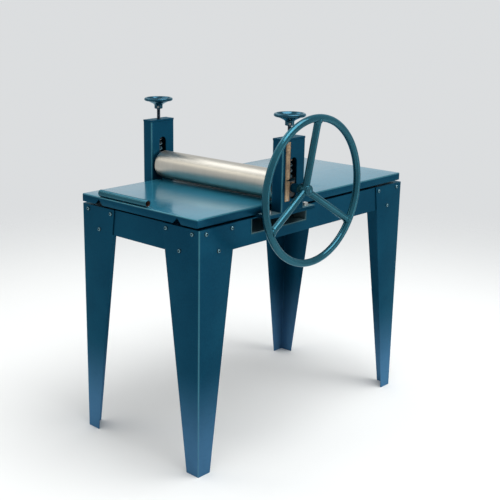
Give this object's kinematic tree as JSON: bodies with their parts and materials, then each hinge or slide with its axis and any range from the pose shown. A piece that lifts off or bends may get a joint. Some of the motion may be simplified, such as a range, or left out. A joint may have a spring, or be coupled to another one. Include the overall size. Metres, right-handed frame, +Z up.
{
  "type": "clay slab roller",
  "caption": "Floor-standing clay slab roller: a sliding flat bed passes under a steel roller set by pressure screws and driven by a large spoked handwheel.",
  "frame": {"origin": "centre of the model's box on the floor, under the stand", "axes": "+Z up; X is the way the bed runs, -X being the end with the grab tube; the drive handwheel is on the -Y side"},
  "size_m": [1.005, 0.716, 1.0614],
  "materials": {
    "blue_paint": "semi-gloss hammered blue paint on sheet steel",
    "satin_steel": "turned and polished roller",
    "plain_steel": "machined, lightly oiled",
    "zinc_plate": "zinc plated",
    "bearing_bronze": "machined bronze",
    "ruler_tan": "tan ruler with black marks",
    "spring_blue": "painted spring wire"
  },
  "bodies": {
    "stand": {"side_rail_near": "blue_paint", "side_rail_far": "blue_paint", "end_rail_infeed": "blue_paint", "end_rail_outfeed": "blue_paint", "leg_infeed_near": "blue_paint", "leg_infeed_far": "blue_paint", "leg_outfeed_near": "blue_paint", "leg_outfeed_far": "blue_paint", "cross_beam": "blue_paint", "bridge_plate": "blue_paint", "foot_plate_near": "blue_paint", "foot_plate_far": "blue_paint", "foot_bolt_infeed_near": "zinc_plate", "foot_bolt_infeed_far": "zinc_plate", "foot_bolt_outfeed_near": "zinc_plate", "foot_bolt_outfeed_far": "zinc_plate", "post_near": "blue_paint", "post_far": "blue_paint", "post_cap_near": "blue_paint", "post_cap_far": "blue_paint", "height_ruler": "ruler_tan", "wheel_rail_infeed": "blue_paint", "wheel_rail_outfeed": "blue_paint", "wheel_stirrup_infeed_near": "blue_paint", "wheel_stirrup_infeed_far": "blue_paint", "wheel_stirrup_outfeed_near": "blue_paint", "wheel_stirrup_outfeed_far": "blue_paint", "wheel_pin_infeed_near": "zinc_plate", "wheel_pin_infeed_far": "zinc_plate", "wheel_pin_outfeed_near": "zinc_plate", "wheel_pin_outfeed_far": "zinc_plate", "backing_bracket_near": "blue_paint", "backing_bracket_far": "blue_paint", "backing_axle": "plain_steel", "spring_near": "spring_blue", "spring_far": "spring_blue"},
    "bed": {"bed_tray": "blue_paint", "runner_near": "blue_paint", "runner_far": "blue_paint", "grab_tube": "blue_paint"},
    "carriage": {"bearing_block_near": "plain_steel", "bearing_block_far": "plain_steel", "bush_near": "bearing_bronze", "bush_far": "bearing_bronze", "height_pointer": "blue_paint"},
    "roller_set": {"roller_tube": "satin_steel", "roller_end_near": "satin_steel", "roller_end_far": "satin_steel", "roller_shaft": "plain_steel", "spacer_collar": "blue_paint", "drive_handwheel": "blue_paint"},
    "screw_near": {"pressure_screw_near": "plain_steel", "screw_handwheel_near": "blue_paint"},
    "screw_far": {"pressure_screw_far": "plain_steel", "screw_handwheel_far": "blue_paint"},
    "backing_roller": {"backing_roller": "plain_steel"},
    "track_wheel_infeed_near": {"track_wheel_infeed_near": "plain_steel"},
    "track_wheel_infeed_far": {"track_wheel_infeed_far": "plain_steel"},
    "track_wheel_outfeed_near": {"track_wheel_outfeed_near": "plain_steel"},
    "track_wheel_outfeed_far": {"track_wheel_outfeed_far": "plain_steel"}
  },
  "joints": [
    {"name": "bed_slide", "type": "slide", "parent": "stand", "child": "bed", "axis": [1, 0, 0], "range_m": [-0.38, 0.28]},
    {"name": "roller_lift", "type": "slide", "parent": "stand", "child": "carriage", "axis": [0, 0, 1], "range_m": [-0.0014, 0.0595], "deforming": ["spring_near", "spring_far"]},
    {"name": "roller_turn", "type": "hinge", "parent": "carriage", "child": "roller_set", "pos_m": [-0.1475, 0.03, 0.8374], "axis": [0, 1, 0], "range_deg": [-358, 485]},
    {"name": "screw_near_turn", "type": "hinge", "parent": "carriage", "child": "screw_near", "pos_m": [-0.1475, -0.2505, 1.051], "axis": [0, 0, 1], "range_deg": [-308, 12260]},
    {"name": "screw_far_turn", "type": "hinge", "parent": "carriage", "child": "screw_far", "pos_m": [-0.1475, 0.3105, 1.051], "axis": [0, 0, 1], "range_deg": [-308, 12260]},
    {"name": "backing_roller_turn", "type": "hinge", "parent": "stand", "child": "backing_roller", "pos_m": [-0.1475, 0.03, 0.7567], "axis": [0, 1, 0], "range_deg": [-727, 536]},
    {"name": "track_wheel_infeed_near_turn", "type": "hinge", "parent": "stand", "child": "track_wheel_infeed_near", "pos_m": [-0.3975, -0.142, 0.75703], "axis": [0, 1, 0], "range_deg": [-1038, 765]},
    {"name": "track_wheel_infeed_far_turn", "type": "hinge", "parent": "stand", "child": "track_wheel_infeed_far", "pos_m": [-0.3975, 0.202, 0.75703], "axis": [0, 1, 0], "range_deg": [-1038, 765]},
    {"name": "track_wheel_outfeed_near_turn", "type": "hinge", "parent": "stand", "child": "track_wheel_outfeed_near", "pos_m": [0.4025, -0.142, 0.75703], "axis": [0, 1, 0], "range_deg": [-1038, 765]},
    {"name": "track_wheel_outfeed_far_turn", "type": "hinge", "parent": "stand", "child": "track_wheel_outfeed_far", "pos_m": [0.4025, 0.202, 0.75703], "axis": [0, 1, 0], "range_deg": [-1038, 765]}
  ],
  "couplings": [
    {"joint": "roller_turn", "follows": "bed_slide", "rad_per_m": -22.222},
    {"joint": "backing_roller_turn", "follows": "bed_slide", "rad_per_m": 33.333},
    {"joint": "screw_near_turn", "follows": "roller_lift", "rad_per_m": 3590.4},
    {"joint": "screw_far_turn", "follows": "roller_lift", "rad_per_m": 3590.4},
    {"joint": "track_wheel_infeed_near_turn", "follows": "bed_slide", "rad_per_m": 47.619},
    {"joint": "track_wheel_infeed_far_turn", "follows": "bed_slide", "rad_per_m": 47.619},
    {"joint": "track_wheel_outfeed_near_turn", "follows": "bed_slide", "rad_per_m": 47.619},
    {"joint": "track_wheel_outfeed_far_turn", "follows": "bed_slide", "rad_per_m": 47.619}
  ]
}
